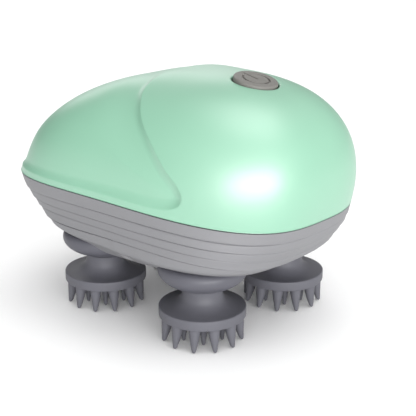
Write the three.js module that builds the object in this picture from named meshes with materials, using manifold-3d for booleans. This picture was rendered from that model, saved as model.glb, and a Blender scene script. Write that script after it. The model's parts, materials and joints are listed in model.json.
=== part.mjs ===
// Electric pet massage brush. Millimetres, +Z up, origin on the resting plane under the middle of the body.
// +X is the tail (button end), -X the nose (grip panel end). Left is +Y, right is -Y.
import * as THREE from 'three';
import { mergeVertices } from 'three/addons/utils/BufferGeometryUtils.js';
import Module from 'manifold-3d';

const wasm = await Module();
wasm.setup();

// ---- driving dimensions -------------------------------------------------
const HALF_LENGTH = 60; // body half length at the seam
const HALF_WIDTH = 49; // body half width at the seam
const BODY_X = -0.75; // the seam plan's centre, so that the whole object is centred on the origin
const HEIGHT = 91; // spike tips to top of body
const PLAN_N_TAIL = 2.96; // superellipse exponent of the plan, tail half
const PLAN_N_NOSE = 3.46; // and nose half
const PLAN_TAPER = -0.14; // the tail is a little narrower
const PLAN_NORM = 1.0433;
const SEAM_Z = 50.9; // seam height at x = 0
const SEAM_SLOPE = -2.84; // seam height change to the tail
const SEAM_SAG = -2.46; // seam drop towards both ends
const DOME_P = 2.208; // dome profile exponents
const DOME_Q = 2.475;
const DOME_SHIFT = 11.23; // the apex lies towards the tail
const FLAT_Z = 22.83; // flat underside of the body
const KEEL_V = [0, 0.2, 0.4, 0.55, 0.7, 0.82, 0.92, 1]; // lower shell profile: depth below the seam,
const KEEL_TAIL = [1, 0.969, 0.923, 0.876, 0.834, 0.762, 0.67, 0.609]; // its length towards the tail,
const KEEL_SIDE = [1, 0.975, 0.93, 0.898, 0.885, 0.79, 0.715, 0.615]; // its width,
const KEEL_NOSE = [1, 0.986, 0.97, 0.937, 0.838, 0.74, 0.648, 0.604]; // its length towards the nose,
const KEEL_SQUARE = 1.1; // how much squarer the nose corners get half way down
const KEEL_TAPER = 0.165; // and how much of the plan's taper is lost there
const KEEL_SHIFT = 0.68;
const WALL = 2.2;
const BAND_V = [0, 0.17, 0.325, 0.465, 0.59, 1]; // lapped bands of the lower shell
const BAND_STEP = 0.45;
const SEAM_GAP = 0.5; // each shell stops this far from the seam line

const HEAD_X = 25.4; // massage head centres
const HEAD_Y = 23.5;
const HEAD_R = 15.7; // disc radius
const RIM_LOW = 8.84; // rim band of the disc
const RIM_HIGH = 12.44;
const NECK_Z = 19.5;
const FLARE = [[15.2, 12.44], [13.2, 12.6], [11, 13.05], [9.2, 13.95], [7.9, 15.3], [7.3, 17.2], [7.2, NECK_Z]]; // rim to neck
const SPIKE_TIP_R = 14.65; // outer spike tips
const SPIKE_BASE_R = 12.8;
const INNER_TIP_R = 7.9;
const CUP_R = 16.0; // bowl above each head
const CUP_Z = 26.2;
const CUP_DEPTH = 7.1;
const CUP_BOTTOM = 19.93;
const CUP_SHOULDER = [[CUP_R, 26.6], [15.85, 27.4], [15.4, 28.2], [14.6, 28.8], [13.2, 29.2]]; // where the casing doesn't meet it

const GEAR_M = 1.261; // gear module
const SUN_TEETH = 41;
const OUT_TEETH = 14;
const PINION_TEETH = 10;
const GEAR_LOW = 34.3;
const GEAR_HIGH = 39;
const BASE_LOW = 29.5;
const BASE_HIGH = 31.5;
const COVER_LOW = 40;
const COVER_HIGH = 42;
const SHAFT_R = 3.0;
const PINION_X = (GEAR_M * (SUN_TEETH + PINION_TEETH)) / 2;

const BUTTON_POS = [28.7, 0, 89.6];
const BUTTON_TILT = THREE.MathUtils.degToRad(13);
const BUTTON_R = 8.0;

// ---- helpers ------------------------------------------------------------
function toSolid(geometry) {
  let g = geometry.clone();
  for (const k of Object.keys(g.attributes)) if (k !== 'position') g.deleteAttribute(k);
  g = mergeVertices(g, 1e-4);
  const index = g.index.array;
  const tri = [];
  for (let i = 0; i < index.length; i += 3) {
    const [a, b, c] = [index[i], index[i + 1], index[i + 2]];
    if (a !== b && b !== c && c !== a) tri.push(a, b, c);
  }
  return new wasm.Manifold(new wasm.Mesh({
    numProp: 3,
    vertProperties: new Float32Array(g.attributes.position.array),
    triVerts: new Uint32Array(tri),
  }));
}
function toGeometry(solid) {
  const m = solid.getMesh();
  const n = m.vertProperties.length / m.numProp;
  const pos = new Float32Array(n * 3);
  for (let i = 0; i < n; i++) for (let k = 0; k < 3; k++) pos[3 * i + k] = m.vertProperties[m.numProp * i + k];
  const g = new THREE.BufferGeometry();
  g.setAttribute('position', new THREE.BufferAttribute(pos, 3));
  g.setIndex(Array.from(m.triVerts));
  g.computeVertexNormals();
  return g;
}
const join = (first, ...rest) => rest.reduce((s, o) => s.add(o), first);
const cut = (first, ...rest) => rest.reduce((s, o) => s.subtract(o), first);

function cylinder(r, z0, z1, x = 0, y = 0, seg = 24, rTop = r) {
  const g = new THREE.CylinderGeometry(rTop, r, z1 - z0, seg, 1, false);
  g.rotateX(Math.PI / 2);
  g.translate(x, y, (z0 + z1) / 2);
  return toSolid(g);
}
function box(x0, x1, y0, y1, z0, z1) {
  const g = new THREE.BoxGeometry(x1 - x0, y1 - y0, z1 - z0);
  g.translate((x0 + x1) / 2, (y0 + y1) / 2, (z0 + z1) / 2);
  return toSolid(g);
}
// profile: [r, z] pairs from the lower axis point to the upper axis point, or a loop
function turned(profile, seg = 28, x = 0, y = 0) {
  const g = new THREE.LatheGeometry(profile.map(([r, z]) => new THREE.Vector2(r, z)), seg);
  g.rotateX(Math.PI / 2);
  g.translate(x, y, 0);
  return toSolid(g);
}
function outline(points, z0, z1) {
  const shape = new THREE.Shape(points.map(([x, y]) => new THREE.Vector2(x, y)));
  const g = new THREE.ExtrudeGeometry(shape, { depth: z1 - z0, bevelEnabled: false, curveSegments: 6 });
  g.translate(0, 0, z0);
  return toSolid(g);
}
// a solid skinned over rings of equal length, closed at both ends
function lofted(rings) {
  const n = rings[0].length;
  const pos = [];
  for (const ring of rings) for (const p of ring) pos.push(...p);
  const idx = [];
  for (let k = 0; k + 1 < rings.length; k++) {
    for (let i = 0; i < n; i++) {
      const a = k * n + i;
      const b = k * n + ((i + 1) % n);
      idx.push(a, b, b + n, a, b + n, a + n);
    }
  }
  const cap = (ring, base, flip) => {
    const c = pos.length / 3;
    const mid = [0, 0, 0];
    for (const p of ring) for (let k = 0; k < 3; k++) mid[k] += p[k] / n;
    pos.push(...mid);
    for (let i = 0; i < n; i++) {
      const a = base + i;
      const b = base + ((i + 1) % n);
      if (flip) idx.push(c, b, a);
      else idx.push(c, a, b);
    }
  };
  cap(rings[0], 0, true);
  cap(rings[rings.length - 1], (rings.length - 1) * n, false);
  const g = new THREE.BufferGeometry();
  g.setAttribute('position', new THREE.Float32BufferAttribute(pos, 3));
  g.setIndex(idx);
  return toSolid(g);
}
function placed(solid, matrix) {
  const g = toGeometry(solid);
  g.applyMatrix4(matrix);
  return toSolid(g);
}

// ---- the body surface ----------------------------------------------------
const SEG = 30;
function planPoint(phi, a, b) {
  const c = Math.cos(phi);
  const s = Math.sin(phi);
  const n = c >= 0 ? PLAN_N_TAIL : PLAN_N_NOSE;
  const r = (Math.abs(c) ** n + Math.abs(s) ** n) ** (-1 / n);
  return [a * r * c, (b * r * s * (1 + PLAN_TAPER * r * c)) / PLAN_NORM];
}
const seamZ = (x) => SEAM_Z + (SEAM_SLOPE * x) / HALF_LENGTH + SEAM_SAG * (x / HALF_LENGTH) ** 2;
function upperRing(u, inset) {
  const ring = [];
  const s = Math.max(0, 1 - u ** DOME_P) ** (1 / DOME_Q);
  const scale = u < 0 ? 1 : s;
  for (let i = 0; i < SEG; i++) {
    const [x, y] = planPoint((2 * Math.PI * i) / SEG, HALF_LENGTH - inset, HALF_WIDTH - inset);
    const up = Math.max(0, u);
    ring.push([BODY_X + x * scale + DOME_SHIFT * up, y * scale, seamZ(x) * (1 - u) + (HEIGHT - inset) * up]);
  }
  return ring;
}
function dome(inset, startU) {
  const rings = [startU, 0.2, 0.4, 0.57, 0.71, 0.82, 0.9, 0.955, 0.988, 0.999].map((u) => upperRing(u, inset));
  if (startU < 0) {
    rings[0] = upperRing(0, inset).map(([x, y, z]) => [x, y, z - 6]);
  } else {
    rings[0] = upperRing(0, inset).map(([x, y, z]) => [x, y, z + SEAM_GAP]);
  }
  return lofted(rings);
}
// smooth monotone curve through the table rows, at v
function curve(table, v) {
  const h = KEEL_V.slice(1).map((k, i) => k - KEEL_V[i]);
  const d = h.map((w, i) => (table[i + 1] - table[i]) / w);
  const slope = (i) => {
    if (i === 0 || i === h.length) {
      const [a, b] = i === 0 ? [0, 1] : [h.length - 1, h.length - 2];
      const m = ((2 * h[a] + h[b]) * d[a] - h[a] * d[b]) / (h[a] + h[b]);
      return m * d[a] <= 0 ? 0 : m;
    }
    const w1 = 2 * h[i] + h[i - 1];
    const w2 = h[i] + 2 * h[i - 1];
    return (w1 + w2) / (w1 / d[i - 1] + w2 / d[i]);
  };
  let i = 0;
  while (i < h.length - 1 && v > KEEL_V[i + 1]) i++;
  const t = (v - KEEL_V[i]) / h[i];
  return table[i] * (1 + 2 * t) * (1 - t) ** 2 + h[i] * slope(i) * t * (1 - t) ** 2
    + table[i + 1] * t * t * (3 - 2 * t) + h[i] * slope(i + 1) * t * t * (t - 1);
}
function lowerRing(v, inset, dz = 0, floorInset = inset) {
  const ring = [];
  const half = Math.sin(Math.PI * Math.min(1, v) ** 1.3);
  const [a, b] = [HALF_LENGTH - inset, HALF_WIDTH - inset];
  const tail = curve(KEEL_TAIL, v);
  const nose = curve(KEEL_NOSE, v);
  const side = curve(KEEL_SIDE, v);
  for (let i = 0; i < SEG; i++) {
    const phi = (2 * Math.PI * i) / SEG;
    const [c, s] = [Math.cos(phi), Math.sin(phi)];
    const n = c >= 0 ? PLAN_N_TAIL : PLAN_N_NOSE + KEEL_SQUARE * half;
    const r = (Math.abs(c) ** n + Math.abs(s) ** n) ** (-1 / n);
    const x = a * r * c;
    const y = (b * r * s * (1 + (PLAN_TAPER + KEEL_TAPER * half) * r * c)) / PLAN_NORM;
    ring.push([
      BODY_X + x * (c >= 0 ? tail : nose) + KEEL_SHIFT * v,
      y * side,
      seamZ(x) * (1 - v) + (FLAT_Z + floorInset) * v + dz,
    ]);
  }
  return ring;
}
// banded keel; grow > 0 gives a plain body standing that far outside the surface
function keelOuter() {
  const rings = [lowerRing(1, 0)];
  for (let k = BAND_V.length - 2; k >= 0; k--) {
    const hi = BAND_V[k];
    const lo = BAND_V[k + 1];
    if (k < BAND_V.length - 2) rings.push(lowerRing(lo - 0.012, 0));
    else for (const v of [0.93, 0.86, 0.78, 0.69]) rings.push(lowerRing(v, BAND_STEP * (1 - v) * 2));
    rings.push(lowerRing(hi, k === 0 ? 0.1 : BAND_STEP, k === 0 ? -SEAM_GAP : 0));
  }
  return lofted(rings);
}
function keelPlain(inset, top) {
  const vs = [1, 0.93, 0.86, 0.78, 0.69, 0.59, 0.465, 0.325, 0.17, 0];
  const rings = vs.map((v) => lowerRing(v, inset));
  rings.push(lowerRing(0, inset, top));
  return lofted(rings);
}
function ringPrism(inset, z0, z1) {
  return lofted([lowerRing(0, inset, z0), lowerRing(0, inset, z1)]);
}

// ---- parts -----------------------------------------------------------------
const part = new THREE.Group();
const finish = {
  mint: { color: 0x9fdcbd, roughness: 0.35, metalness: 0 },
  shell_grey: { color: 0xa6a6a8, roughness: 0.5, metalness: 0 },
  gasket: { color: 0x4a4a4e, roughness: 0.8, metalness: 0 },
  silicone: { color: 0x626269, roughness: 0.7, metalness: 0 },
  button: { color: 0x92908c, roughness: 0.5, metalness: 0 },
  nylon: { color: 0xe8e4d8, roughness: 0.5, metalness: 0 },
  frame: { color: 0x3c3f44, roughness: 0.6, metalness: 0 },
  steel: { color: 0xb8babd, roughness: 0.3, metalness: 1 },
  bronze: { color: 0xb08d57, roughness: 0.4, metalness: 1 },
  board: { color: 0x1f6b45, roughness: 0.5, metalness: 0 },
  cell: { color: 0x3f6fa8, roughness: 0.4, metalness: 0 },
};
function addPart(name, solid, look) {
  const mesh = new THREE.Mesh(toGeometry(solid), new THREE.MeshStandardMaterial(finish[look]));
  mesh.name = name;
  part.add(mesh);
  return solid;
}
const CORNERS = [
  ['tail_left', 1, 1],
  ['nose_left', -1, 1],
  ['nose_right', -1, -1],
  ['tail_right', 1, -1],
];
const CASE_SCREWS = [[44.5, 0], [0, 36.5], [-44.5, 0], [0, -36.5]];
const PILLARS = [[36.2, 12.8], [0, 29.9], [-29.9, 0], [0, -29.9]];

// button frame: local +Z along the button's axis
const buttonMatrix = new THREE.Matrix4().makeRotationY(BUTTON_TILT).setPosition(...BUTTON_POS);
const onButton = (solid) => placed(solid, buttonMatrix);

// upper shell with recessed grip panel over the nose
const domeOuter = dome(0, 0);
const PANEL = [[-80, 53.8], [28.4, 53.8], [30.8, 54.8], [31.6, 57.4], [30.3, 60.8], [26, 64.5], [20.3, 70], [14.5, 74.9], [8.8, 79.4], [4.7, 83.1], [0.6, 86.5], [-2, 89], [-10, 93], [-80, 93]];
const panelSolid = (() => {
  const shape = new THREE.Shape(PANEL.map(([x, z]) => new THREE.Vector2(x, z)));
  const g = new THREE.ExtrudeGeometry(shape, { depth: 120, bevelEnabled: false });
  g.rotateX(Math.PI / 2);
  g.translate(0, 60, 0);
  return toSolid(g);
})();
const domeRecessed = dome(0.8, 0);
const domeSkin = cut(domeOuter, panelSolid).add(domeRecessed);
let upper = cut(domeSkin, dome(WALL, -1));
const upperPosts = [];
for (const [x, y] of CASE_SCREWS) upperPosts.push(cylinder(3.0, 44.3, 90, x, y, 12));
const boardPosts = [[-12.5, 7.5], [12.5, -7.5]];
const inner = dome(WALL - 0.4, -1);
const postLimit = dome(1.0, -1);
const nutBoss = onButton(cut(cylinder(11.1, -6, 5, 0, 0, 18), cylinder(9.9, -7, 6, 0, 0, 18)));
let posts = upperPosts[0];
for (const p of upperPosts.slice(1)) posts = posts.add(p);
for (const [x, y] of boardPosts) posts = posts.add(onButton(cut(cylinder(2.2, -10.0, 4, x, y, 12), cylinder(0.9, -11, -3.5, x, y, 6))));
const lowered = (() => {
  // region allowed for the posts: inside the dome and, below the seam, inside the lower shell
  const column = lofted([lowerRing(0, WALL + 1.2, -9), lowerRing(0, WALL + 1.2, 0.2)]);
  return postLimit.add(column);
})();
posts = posts.intersect(lowered);
upper = upper.add(posts).add(nutBoss.intersect(postLimit));
upper = cut(
  upper,
  onButton(cylinder(8.4, -3.0, 8, 0, 0, 28)),
  ...CASE_SCREWS.map(([x, y]) => cylinder(1.2, 40, 58, x, y, 6)),
);
addPart('upper_shell', upper, 'mint');

// lower shell
const keelIn = keelPlain(WALL - 0.2, 4);
const keelBody = keelOuter();
let lower = cut(keelBody, keelIn);
let bosses = cylinder(3.85, 20, 44, ...CASE_SCREWS[0], 15);
for (const [x, y] of CASE_SCREWS.slice(1)) bosses = bosses.add(cylinder(3.85, 20, 44, x, y, 15));
for (const [x, y] of PILLARS) bosses = bosses.add(cylinder(3.2, 20, 29.2, x, y, 12));
bosses = bosses.intersect(keelPlain(0.9, 0));
lower = lower.add(bosses);
lower = cut(
  lower,
  ...CORNERS.map(([, sx, sy]) => cylinder(8.1, 18, 40, sx * HEAD_X, sy * HEAD_Y, 14)),
  ...CASE_SCREWS.map(([x, y]) => cylinder(2.7, 18, 32, x, y, 12)),
  ...CASE_SCREWS.map(([x, y]) => cylinder(1.6, 31, 50, x, y, 8)),
  ...PILLARS.map(([x, y]) => cylinder(1.0, 25, 34, x, y, 8)),
  box(-70, -57.0, -7.2, 7.2, 38.9, 47.1),
  box(-60, -48.5, -5.1, 5.1, 40.8, 45.2),
);
addPart('lower_shell', lower, 'shell_grey');

// seam gasket
addPart('seam_gasket', cut(ringPrism(0.35, -0.2, 0.2), ringPrism(1.9, -2, 2)), 'gasket');

// case screws, from below into the upper shell's posts
const screw = (x, y, head0, head1, tip, headR, r) => join(
  cylinder(headR, head0, head1, x, y, 10),
  cylinder(r, Math.min(head1, tip) - (tip > head1 ? 0.1 : 0), Math.max(head0, tip) + (tip > head1 ? 0 : 0.1), x, y, 6),
);
CASE_SCREWS.forEach(([x, y], i) => addPart(`case_screw_${i + 1}`, cut(
  screw(x, y, 29.6, 31.7, 52, 2.3, 0.85),
  box(x - 1.4, x + 1.4, y - 0.3, y + 0.3, 29, 30.4),
), 'steel'));

// cups, seals, bushes, shafts, gears and heads at each corner
const keelClear = keelPlain(-0.32, 8);
function cup(x, y) {
  const profile = [[0, CUP_BOTTOM], [7.5, CUP_BOTTOM]];
  for (const a of [0.72, 0.52, 0.27, 0]) profile.push([CUP_R * Math.sqrt(1 - a * a), CUP_Z - CUP_DEPTH * a]);
  profile.push(...CUP_SHOULDER, [0, 29.2]);
  const bowl = cut(turned(profile, 20, x, y), keelClear);
  const spigot = cylinder(7.6, 21.2, 27, x, y, 14);
  return cut(bowl.add(spigot), cylinder(3.7, 10, 22.2, x, y, 12), cylinder(6.3, 21.8, 40, x, y, 12));
}
function gear(teeth, z0, z1, x, y, phase, bore) {
  const r = (GEAR_M * teeth) / 2;
  const tip = r + 0.9 * GEAR_M;
  const root = r - 1.2 * GEAR_M;
  const pts = [];
  const half = (w, rad) => w / 2 / rad;
  const step = (2 * Math.PI) / teeth;
  for (let k = 0; k < teeth; k++) {
    const a = phase + k * step;
    const rows = [[root, 1.86 * GEAR_M], [tip, 0.62 * GEAR_M]];
    for (const [rad, w] of rows) pts.push([x + rad * Math.cos(a - half(w, rad)), y + rad * Math.sin(a - half(w, rad))]);
    for (const [rad, w] of rows.reverse()) pts.push([x + rad * Math.cos(a + half(w, rad)), y + rad * Math.sin(a + half(w, rad))]);
  }
  return cut(outline(pts, z0, z1), cylinder(bore, z0 - 1, z1 + 1, x, y, 18));
}
// an external gear at angle beta from the sun, in mesh: one of its gaps faces a tooth of the sun
function meshPhase(beta, teeth) {
  const sunStep = (2 * Math.PI) / SUN_TEETH;
  const lead = beta - Math.round(beta / sunStep) * sunStep; // sun tooth is this far behind the centre line
  const step = (2 * Math.PI) / teeth;
  return beta + Math.PI + step / 2 + (lead * SUN_TEETH) / teeth;
}
function head(x, y) {
  const profile = [[0, RIM_LOW], [HEAD_R, RIM_LOW], [HEAD_R, RIM_HIGH - 0.5], ...FLARE, [0, NECK_Z]];
  let s = turned(profile, 22, x, y);
  const spike = (angle, r0, r1, w0, w1) => {
    const ring = (r, w, z) => Array.from({ length: 5 }, (_, i) => {
      const a = angle + (2 * Math.PI * i) / 5;
      return [x + r * Math.cos(angle) + w * Math.cos(a), y + r * Math.sin(angle) + w * Math.sin(a), z];
    });
    return lofted([ring(r1, w1, 0), ring(r0, w0, RIM_LOW + 0.6)]);
  };
  for (let k = 0; k < 12; k++) s = s.add(spike((k * Math.PI) / 6, SPIKE_BASE_R, SPIKE_TIP_R, 2.25, 0.55));
  for (let k = 0; k < 6; k++) s = s.add(spike(((15 + 60 * k) * Math.PI) / 180, INNER_TIP_R, INNER_TIP_R, 1.7, 0.5));
  return cut(s, cylinder(3.35, 9.9, 22, x, y, 6));
}
for (const [where, sx, sy] of CORNERS) {
  const x = sx * HEAD_X;
  const y = sy * HEAD_Y;
  addPart(`head_cup_${where}`, cup(x, y), 'silicone');
  addPart(`shaft_seal_${where}`, cut(cylinder(5.6, 22.1, 24.7, x, y, 12), cylinder(3.35, 21, 26, x, y, 12)), 'gasket');
  addPart(`shaft_bush_${where}`, cut(cylinder(4.9, 29.2, 32.2, x, y, 12), cylinder(3.3, 28, 34, x, y, 12)), 'bronze');
  addPart(`output_shaft_${where}`, join(
    cylinder(3.0, 10.3, 20.3, x, y, 6),
    cylinder(SHAFT_R, 20.2, 39.4, x, y, 14),
    cylinder(2.0, 39.3, 41.8, x, y, 10),
  ), 'steel');
  addPart(`output_gear_${where}`, gear(OUT_TEETH, GEAR_LOW, GEAR_HIGH, x, y, meshPhase(Math.atan2(y, x), OUT_TEETH), 3.2), 'nylon');
  addPart(`massage_head_${where}`, head(x, y), 'silicone');
}

// gearbox base with four pillars, and its cover
function roundedPlate(hx, hy, r, z0, z1, lobe) {
  const pts = [];
  for (const [cx, cy, a0] of [[1, 1, 0], [-1, 1, 90], [-1, -1, 180], [1, -1, 270]]) {
    for (let i = 0; i <= 3; i++) {
      const a = ((a0 + 30 * i) * Math.PI) / 180;
      pts.push([cx * (hx - r) + r * Math.cos(a), cy * (hy - r) + r * Math.sin(a)]);
    }
  }
  let plate = outline(pts, z0, z1);
  if (lobe) plate = join(plate, box(30, lobe, -15.1, 15.1, z0, z1), box(-8.6, 8.6, -31.9, 31.9, z0, z1));
  return plate;
}
const base = cut(
  join(roundedPlate(32.1, 30.1, 10, BASE_LOW, BASE_HIGH, 38.2), ...PILLARS.map(([x, y]) => cylinder(2.4, BASE_HIGH - 0.1, 39.7, x, y, 12))),
  ...CORNERS.map(([, sx, sy]) => cylinder(5.45, 25, 35, sx * HEAD_X, sy * HEAD_Y, 12)),
  ...PILLARS.map(([x, y]) => cylinder(1.35, 25, 45, x, y, 8)),
  cylinder(2.25, 25, 35, 0, 0, 14),
);
addPart('gearbox_base', base, 'frame');
const cover = cut(
  roundedPlate(32.1, 30.1, 10, COVER_LOW, COVER_HIGH, 38.2),
  ...CORNERS.map(([, sx, sy]) => cylinder(2.35, 35, 45, sx * HEAD_X, sy * HEAD_Y, 10)),
  ...PILLARS.map(([x, y]) => cylinder(1.35, 35, 45, x, y, 8)),
  cylinder(2.25, 35, 45, 0, 0, 14),
  cylinder(3.4, 35, 45, PINION_X, 0, 16),
);
addPart('gearbox_cover', cover, 'frame');
PILLARS.forEach(([x, y], i) => addPart(`gearbox_screw_${i + 1}`, cut(
  join(cylinder(2.2, 42.3, 44, x, y, 10), cylinder(0.75, 27, 42.4, x, y, 6)),
  box(x - 1.4, x + 1.4, y - 0.3, y + 0.3, 43.2, 45),
), 'steel'));

// central gear on its axle, and the drive pinion on the motor's output shaft
addPart('sun_axle', cylinder(1.95, 29.7, 41.8, 0, 0, 14), 'steel');
let sun = gear(SUN_TEETH, GEAR_LOW, GEAR_HIGH, 0, 0, 0, 2.3);
sun = join(sun, cut(cylinder(5, 32.4, GEAR_LOW + 0.1, 0, 0, 18), cylinder(2.3, 30, 36, 0, 0, 18)));
addPart('sun_gear', sun, 'nylon');
addPart('drive_pinion', gear(PINION_TEETH, GEAR_LOW, GEAR_HIGH, PINION_X, 0, meshPhase(0, PINION_TEETH), 1.75), 'nylon');
addPart('motor_output_shaft', cylinder(1.5, 33.4, 45, PINION_X, 0, 12), 'steel');

// geared motor standing on the cover
addPart('motor_gearhead', cut(box(PINION_X - 5, PINION_X + 5, -6, 6, 42.3, 51.3), cylinder(1.8, 40, 46, PINION_X, 0, 12)), 'steel');
const canShape = cylinder(6, 51.6, 66.6, PINION_X, 0, 20).intersect(box(PINION_X - 5, PINION_X + 5, -7, 7, 51, 67));
addPart('motor_can', canShape, 'steel');
addPart('motor_end_cap', join(
  cylinder(5.6, 66.9, 68.2, PINION_X, 0, 18).intersect(box(PINION_X - 4.8, PINION_X + 4.8, -7, 7, 66, 69)),
  box(PINION_X - 3.2, PINION_X - 2.6, -1, 1, 68.1, 70.4),
  box(PINION_X + 2.6, PINION_X + 3.2, -1, 1, 68.1, 70.4),
), 'frame');
addPart('motor_clamp', cut(
  box(PINION_X - 7.6, PINION_X + 7.6, -8.6, 8.6, 42.3, 49.8),
  box(PINION_X - 5.3, PINION_X + 5.3, -6.3, 6.3, 40, 52),
), 'frame');

// rechargeable cell in its tray
const TRAY_X = -11;
addPart('battery_tray', cut(
  box(TRAY_X - 28, TRAY_X + 28, -9.5, 9.5, 42.3, 51.5),
  box(TRAY_X - 25.8, TRAY_X + 25.8, -7.7, 7.7, 44.5, 53),
  box(TRAY_X - 22, TRAY_X + 22, -6, 6, 40, 46),
  cylinder(3, 40, 46, -29.9, 0, 14),
), 'frame');
addPart('battery_cell', (() => {
  const g = new THREE.CylinderGeometry(7.1, 7.1, 48.6, 22, 1, false);
  g.rotateZ(Math.PI / 2);
  g.translate(TRAY_X, 0, 52.0);
  const knob = new THREE.CylinderGeometry(2.6, 2.6, 1.2, 12, 1, false);
  knob.rotateZ(Math.PI / 2);
  knob.translate(TRAY_X + 24.8, 0, 52.0);
  return toSolid(g).add(toSolid(knob));
})(), 'cell');

// power button, its boot, the tact switch and the circuit board, all along the button's axis
addPart('power_button', onButton(join(
  turned([[0, -2.0], [BUTTON_R, -2.0], [BUTTON_R, 0.55], [BUTTON_R - 0.45, 1.0], [0, 1.0]], 28),
  cylinder(2.0, -5.6, -1.9, 0, 0, 14),
)), 'button');
addPart('button_boot', onButton(cut(cylinder(9.2, -4.2, -3.35, 0, 0, 20), cylinder(2.6, -5, -3, 0, 0, 12))), 'gasket');
addPart('tact_switch', onButton(join(box(-3, 3, -3, 3, -10.0, -6.9), cylinder(1.7, -7.0, -6.3, 0, 0, 12))), 'frame');
addPart('circuit_board', onButton(cut(
  box(-15, 15, -11, 11, -11.9, -10.3),
  ...boardPosts.map(([x, y]) => cylinder(1.1, -13, -9, x, y, 10)),
)), 'board');
boardPosts.forEach(([x, y], i) => addPart(`board_screw_${i + 1}`, onButton(join(
  cylinder(1.9, -13.6, -12.2, x, y, 12),
  cylinder(0.6, -12.3, -5, x, y, 8),
)), 'steel'));

// charging socket in the nose and its rubber plug
addPart('charging_socket', cut(box(-55.3, -48.7, -4.7, 4.7, 41.2, 44.8), box(-56, -50.2, -4.1, 4.1, 41.75, 44.25)), 'steel');
addPart('socket_plug', join(
  box(-58.2, -57.3, -6.85, 6.85, 39.25, 46.75),
  box(-57.4, -55.6, -4.7, 4.7, 41.2, 44.8),
), 'gasket');

export default part;
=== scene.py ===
import json
import math

import bpy
import numpy as np
from mathutils import Matrix, Vector, kdtree
from mathutils.geometry import delaunay_2d_cdt


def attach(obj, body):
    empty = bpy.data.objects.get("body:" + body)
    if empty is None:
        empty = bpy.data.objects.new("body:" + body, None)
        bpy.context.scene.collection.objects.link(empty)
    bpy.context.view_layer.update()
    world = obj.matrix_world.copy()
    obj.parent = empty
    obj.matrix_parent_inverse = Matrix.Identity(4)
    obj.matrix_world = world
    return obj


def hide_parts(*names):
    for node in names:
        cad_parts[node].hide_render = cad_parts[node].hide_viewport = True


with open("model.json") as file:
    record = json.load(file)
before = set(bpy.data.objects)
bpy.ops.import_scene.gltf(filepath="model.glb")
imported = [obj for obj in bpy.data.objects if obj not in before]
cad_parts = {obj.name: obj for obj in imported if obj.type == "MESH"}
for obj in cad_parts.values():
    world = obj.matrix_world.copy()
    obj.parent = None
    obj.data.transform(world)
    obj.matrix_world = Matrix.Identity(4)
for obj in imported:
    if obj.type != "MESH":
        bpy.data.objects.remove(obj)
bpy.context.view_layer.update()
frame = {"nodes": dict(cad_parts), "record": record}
scene = bpy.context.scene

# ---------------------------------------------------------------- dimensions, mm
HALF_LENGTH, HALF_WIDTH, HEIGHT, BODY_X = 60.0, 49.0, 91.0, -0.75
N_TAIL, N_NOSE, TAPER, NORM = 2.96, 3.46, -0.14, 1.0433
SEAM_Z, SEAM_SLOPE, SEAM_SAG = 50.9, -2.84, -2.46
DOME_P, DOME_Q, DOME_SHIFT = 2.208, 2.475, 11.23
FLAT_Z, KEEL_SHIFT = 22.83, 0.68
KEEL_V = np.array([0, 0.2, 0.4, 0.55, 0.7, 0.82, 0.92, 1.0])
KEEL_TAIL = np.array([1, 0.969, 0.923, 0.876, 0.834, 0.762, 0.67, 0.609])
KEEL_SIDE = np.array([1, 0.975, 0.93, 0.898, 0.885, 0.79, 0.715, 0.615])
KEEL_NOSE = np.array([1, 0.986, 0.97, 0.937, 0.838, 0.74, 0.648, 0.604])
KEEL_SQUARE, KEEL_TAPER = 1.1, 0.165
WALL = 2.2
HEAD_X, HEAD_Y, HEAD_R, RIM_LOW, RIM_HIGH = 25.4, 23.5, 15.7, 8.84, 12.44
NECK_R, NECK_Z = 7.2, 19.5
CUP_R, CUP_Z, CUP_DEPTH, CUP_BOTTOM = 16.0, 26.2, 7.1, 19.93
CUP_SHOULDER = [(16.0, 26.2), (16.0, 26.6), (15.85, 27.4), (15.4, 28.2), (14.6, 28.8), (13.2, 29.2), (7.6, 29.2)]
BUTTON_POS, BUTTON_TILT = np.array([28.7, 0.0, 89.6]), math.radians(13)
BUTTON_R = 7.95
CORNERS = {"tail_left": (1, 1), "nose_left": (-1, 1), "nose_right": (-1, -1), "tail_right": (1, -1)}
CASE_SCREWS = [(44.5, 0.0), (0.0, 36.5), (-44.5, 0.0), (0.0, -36.5)]


# ---------------------------------------------------------------- body surface
def plan(phi, a, b):
    c, s = np.cos(phi), np.sin(phi)
    n = np.where(c >= 0, N_TAIL, N_NOSE)
    r = (np.abs(c) ** n + np.abs(s) ** n) ** (-1 / n)
    return a * r * c, b * r * s * (1 + TAPER * r * c) / NORM


def seam(x):
    return SEAM_Z + SEAM_SLOPE * x / HALF_LENGTH + SEAM_SAG * (x / HALF_LENGTH) ** 2


def dome_scale(u):
    return np.maximum(0, 1 - np.clip(u, 0, 1) ** DOME_P) ** (1 / DOME_Q)


def curve(table, v):
    """Smooth monotone curve through the table rows, at v."""
    h = np.diff(KEEL_V)
    d = np.diff(table) / h
    w1, w2 = 2 * h[1:] + h[:-1], h[1:] + 2 * h[:-1]
    inner = (w1 + w2) / (w1 / d[:-1] + w2 / d[1:])
    ends = [((2 * h[a] + h[b]) * d[a] - h[a] * d[b]) / (h[a] + h[b]) for a, b in ((0, 1), (-1, -2))]
    ends = [e if e * d[a] > 0 else 0.0 for e, a in zip(ends, (0, -1))]
    slope = np.concatenate([[ends[0]], inner, [ends[1]]])
    v = np.clip(v, 0, 1)
    i = np.clip(np.searchsorted(KEEL_V, v, side="right") - 1, 0, len(h) - 1)
    t = (v - KEEL_V[i]) / h[i]
    return (table[i] * (1 + 2 * t) * (1 - t) ** 2 + h[i] * slope[i] * t * (1 - t) ** 2
            + table[i + 1] * t * t * (3 - 2 * t) + h[i] * slope[i + 1] * t * t * (t - 1))


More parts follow.
